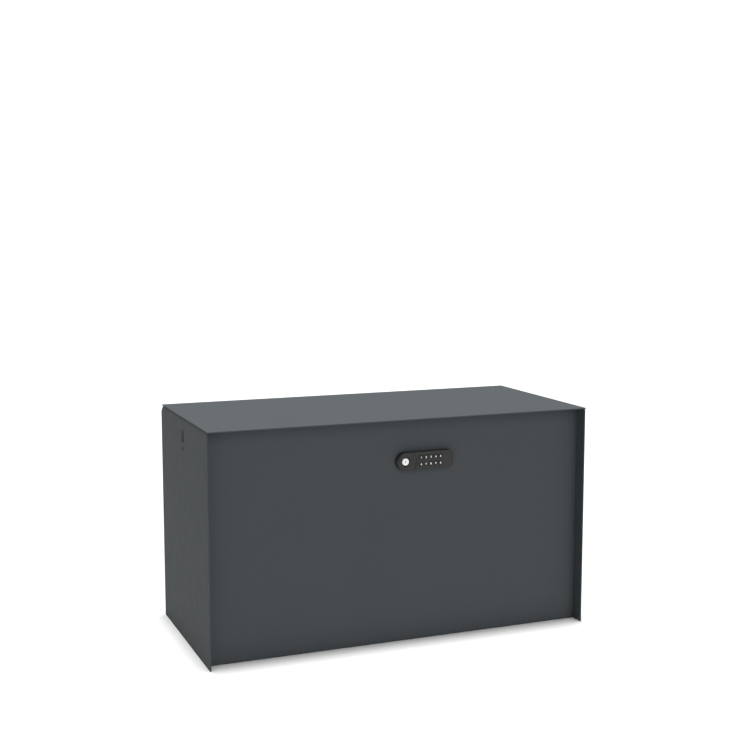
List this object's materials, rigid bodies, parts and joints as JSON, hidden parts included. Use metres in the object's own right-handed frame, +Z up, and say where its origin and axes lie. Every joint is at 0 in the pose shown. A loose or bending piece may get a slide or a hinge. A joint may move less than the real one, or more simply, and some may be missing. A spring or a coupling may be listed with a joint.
{
  "type": "parcel drop box",
  "caption": "Free-standing sheet-steel parcel box with a flat rear-hinged lid on gas springs, a recessed front panel and a keypad cam lock.",
  "frame": {"origin": "On the ground under the middle of the whole box with the lid shut.", "axes": "+X to the right seen from the front, +Y to the back, +Z up; the front panel faces -Y."},
  "size_m": [0.8, 0.378, 0.455],
  "materials": {
    "anthracite_paint": "satin anthracite powder coat on steel sheet",
    "zinc_plated_steel": "bright zinc plate",
    "ground_steel": "ground and polished steel",
    "black_enamel": "gloss black enamel on steel tube",
    "badge_paint": "matt dark grey, blank",
    "rubber": "matt black rubber",
    "black_plastic": "finely textured black plastic",
    "nickel_plate": "satin nickel plate",
    "board_green": "solder mask",
    "battery_jacket": "plain shrink sleeve on a steel can",
    "digit_ink": "white pad-printed digits on the keys"
  },
  "bodies": {
    "cabinet": {"left_side_panel": "anthracite_paint", "right_side_panel": "anthracite_paint", "front_panel": "anthracite_paint", "back_panel": "anthracite_paint", "floor_panel": "anthracite_paint", "floor_mat": "rubber", "left_edge_seal": "rubber", "right_edge_seal": "rubber", "side_badge": "badge_paint", "side_badge_strip": "badge_paint", "lid_buffer_1": "rubber", "lid_buffer_2": "rubber", "lid_buffer_3": "rubber", "lid_buffer_4": "rubber", "left_hinge_body_leaf": "zinc_plated_steel", "left_hinge_pin": "ground_steel", "left_gas_spring_foot_bracket": "zinc_plated_steel", "right_hinge_body_leaf": "zinc_plated_steel", "right_hinge_pin": "ground_steel", "right_gas_spring_foot_bracket": "zinc_plated_steel", "lock_housing": "black_plastic", "keypad_mat": "rubber", "circuit_board": "board_green", "battery_case": "black_plastic", "battery_cover": "black_plastic", "battery_cover_screw": "zinc_plated_steel", "lock_screw_1": "zinc_plated_steel", "lock_screw_2": "zinc_plated_steel", "battery_1": "battery_jacket", "battery_2": "battery_jacket"},
    "lid": {"lid_panel": "anthracite_paint", "lid_frame": "anthracite_paint", "lid_stiffener": "anthracite_paint", "left_lid_rear_strip": "anthracite_paint", "middle_lid_rear_strip": "anthracite_paint", "right_lid_rear_strip": "anthracite_paint", "strike_plate": "zinc_plated_steel", "left_hinge_lid_leaf": "zinc_plated_steel", "left_gas_spring_head_bracket": "zinc_plated_steel", "right_hinge_lid_leaf": "zinc_plated_steel", "right_gas_spring_head_bracket": "zinc_plated_steel"},
    "knob": {"knob": "black_plastic", "spindle": "zinc_plated_steel", "cam": "zinc_plated_steel", "cam_nut": "zinc_plated_steel"},
    "key_cylinder": {"key_cylinder": "nickel_plate"},
    "left_gas_spring_tube": {"left_gas_spring_tube": "black_enamel"},
    "left_gas_spring_rod": {"left_gas_spring_rod": "ground_steel"},
    "right_gas_spring_tube": {"right_gas_spring_tube": "black_enamel"},
    "right_gas_spring_rod": {"right_gas_spring_rod": "ground_steel"},
    "key_1": {"key_1": "black_plastic"},
    "key_2": {"key_2": "black_plastic"},
    "key_3": {"key_3": "black_plastic"},
    "key_4": {"key_4": "black_plastic"},
    "key_5": {"key_5": "black_plastic"},
    "key_6": {"key_6": "black_plastic"},
    "key_7": {"key_7": "black_plastic"},
    "key_8": {"key_8": "black_plastic"},
    "key_9": {"key_9": "black_plastic"},
    "key_10": {"key_10": "black_plastic"}
  },
  "joints": [
    {"name": "lid_hinge", "type": "hinge", "parent": "cabinet", "child": "lid", "pos_m": [0, 0.18, 0.448], "axis": [-1, 0, 0], "range_deg": [0, 75]},
    {"name": "knob_turn", "type": "hinge", "parent": "cabinet", "child": "knob", "pos_m": [0.0047, -0.155, 0.3665], "axis": [0, 1, 0], "range_deg": [0, 90]},
    {"name": "key_cylinder_turn", "type": "hinge", "parent": "knob", "child": "key_cylinder", "pos_m": [0.0047, -0.165, 0.3665], "axis": [0, 1, 0], "range_deg": [0, 90]},
    {"name": "left_gas_spring_swing", "type": "hinge", "parent": "cabinet", "child": "left_gas_spring_tube", "pos_m": [-0.383, 0.148, 0.3], "axis": [-1, 0, 0], "range_deg": [0, 5.96]},
    {"name": "left_gas_spring_stroke", "type": "slide", "parent": "left_gas_spring_tube", "child": "left_gas_spring_rod", "axis": [0, -0.0596, 0.9982], "range_m": [0, 0.04896]},
    {"name": "right_gas_spring_swing", "type": "hinge", "parent": "cabinet", "child": "right_gas_spring_tube", "pos_m": [0.383, 0.148, 0.3], "axis": [-1, 0, 0], "range_deg": [0, 5.96]},
    {"name": "right_gas_spring_stroke", "type": "slide", "parent": "right_gas_spring_tube", "child": "right_gas_spring_rod", "axis": [0, -0.0596, 0.9982], "range_m": [0, 0.04896]},
    {"name": "key_1_press", "type": "slide", "parent": "cabinet", "child": "key_1", "axis": [0, 1, 0], "range_m": [0, 0.0008], "stiffness_N_per_m": 1000, "springref_m": -0.0008},
    {"name": "key_2_press", "type": "slide", "parent": "cabinet", "child": "key_2", "axis": [0, 1, 0], "range_m": [0, 0.0008], "stiffness_N_per_m": 1000, "springref_m": -0.0008},
    {"name": "key_3_press", "type": "slide", "parent": "cabinet", "child": "key_3", "axis": [0, 1, 0], "range_m": [0, 0.0008], "stiffness_N_per_m": 1000, "springref_m": -0.0008},
    {"name": "key_4_press", "type": "slide", "parent": "cabinet", "child": "key_4", "axis": [0, 1, 0], "range_m": [0, 0.0008], "stiffness_N_per_m": 1000, "springref_m": -0.0008},
    {"name": "key_5_press", "type": "slide", "parent": "cabinet", "child": "key_5", "axis": [0, 1, 0], "range_m": [0, 0.0008], "stiffness_N_per_m": 1000, "springref_m": -0.0008},
    {"name": "key_6_press", "type": "slide", "parent": "cabinet", "child": "key_6", "axis": [0, 1, 0], "range_m": [0, 0.0008], "stiffness_N_per_m": 1000, "springref_m": -0.0008},
    {"name": "key_7_press", "type": "slide", "parent": "cabinet", "child": "key_7", "axis": [0, 1, 0], "range_m": [0, 0.0008], "stiffness_N_per_m": 1000, "springref_m": -0.0008},
    {"name": "key_8_press", "type": "slide", "parent": "cabinet", "child": "key_8", "axis": [0, 1, 0], "range_m": [0, 0.0008], "stiffness_N_per_m": 1000, "springref_m": -0.0008},
    {"name": "key_9_press", "type": "slide", "parent": "cabinet", "child": "key_9", "axis": [0, 1, 0], "range_m": [0, 0.0008], "stiffness_N_per_m": 1000, "springref_m": -0.0008},
    {"name": "key_10_press", "type": "slide", "parent": "cabinet", "child": "key_10", "axis": [0, 1, 0], "range_m": [0, 0.0008], "stiffness_N_per_m": 1000, "springref_m": -0.0008}
  ],
  "couplings": [
    {"joint": "left_gas_spring_swing", "follows": "lid_hinge", "ratio": 0.079445},
    {"joint": "left_gas_spring_stroke", "follows": "lid_hinge", "m_per_rad": 0.037399},
    {"joint": "right_gas_spring_swing", "follows": "lid_hinge", "ratio": 0.079445},
    {"joint": "right_gas_spring_stroke", "follows": "lid_hinge", "m_per_rad": 0.037399}
  ]
}
